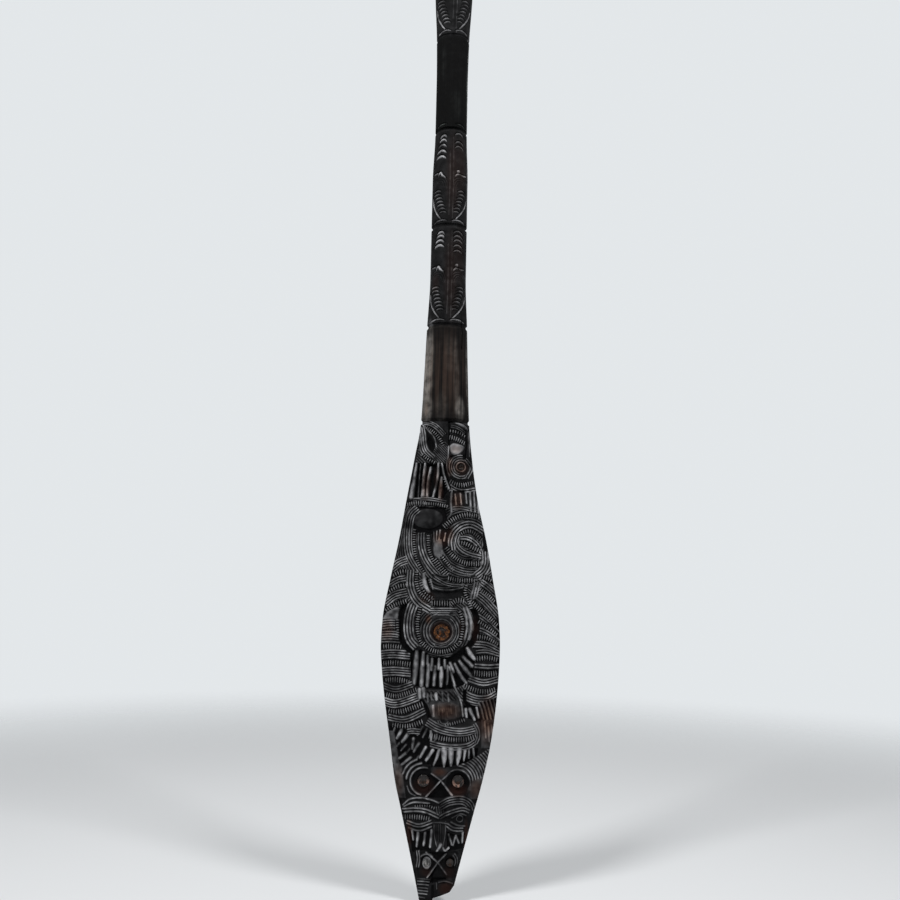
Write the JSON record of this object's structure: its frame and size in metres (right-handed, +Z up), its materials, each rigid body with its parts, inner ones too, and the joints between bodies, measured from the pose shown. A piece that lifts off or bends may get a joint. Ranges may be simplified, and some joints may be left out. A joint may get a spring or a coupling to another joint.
{
  "type": "carved ceremonial paddle",
  "caption": "Long carved hardwood paddle with a leaf-shaped blade, ring-grooved oval shaft and figures with inset eyes.",
  "frame": {"origin": "on the floor plane under the middle of the paddle, at the level of the worn foot of the tip", "axes": "+Z up the length from tip to butt, -Y the way the carved face looks, +X to the right for someone who looks at the carved face"},
  "size_m": [0.1239, 0.032, 1.07],
  "materials": {
    "black_stained_timber": "black stain, waxed, satin",
    "eye_ring_wood": "dark stained, satin",
    "eye_peg_wood": "brown, waxed",
    "pale_peg": "grey, worn, satin"
  },
  "bodies": {
    "root": {"paddle_timber": "black_stained_timber", "main_eye_ring": "eye_ring_wood", "main_eye_pupil": "eye_peg_wood", "spiral_eye_pupil": "eye_peg_wood", "mask_eye_left_ring": "eye_ring_wood", "mask_eye_left_pupil": "eye_peg_wood", "mask_eye_right_ring": "eye_ring_wood", "mask_eye_right_pupil": "eye_peg_wood", "tip_eye_left_pupil": "pale_peg", "tip_eye_right_pupil": "eye_peg_wood"}
  },
  "joints": []
}
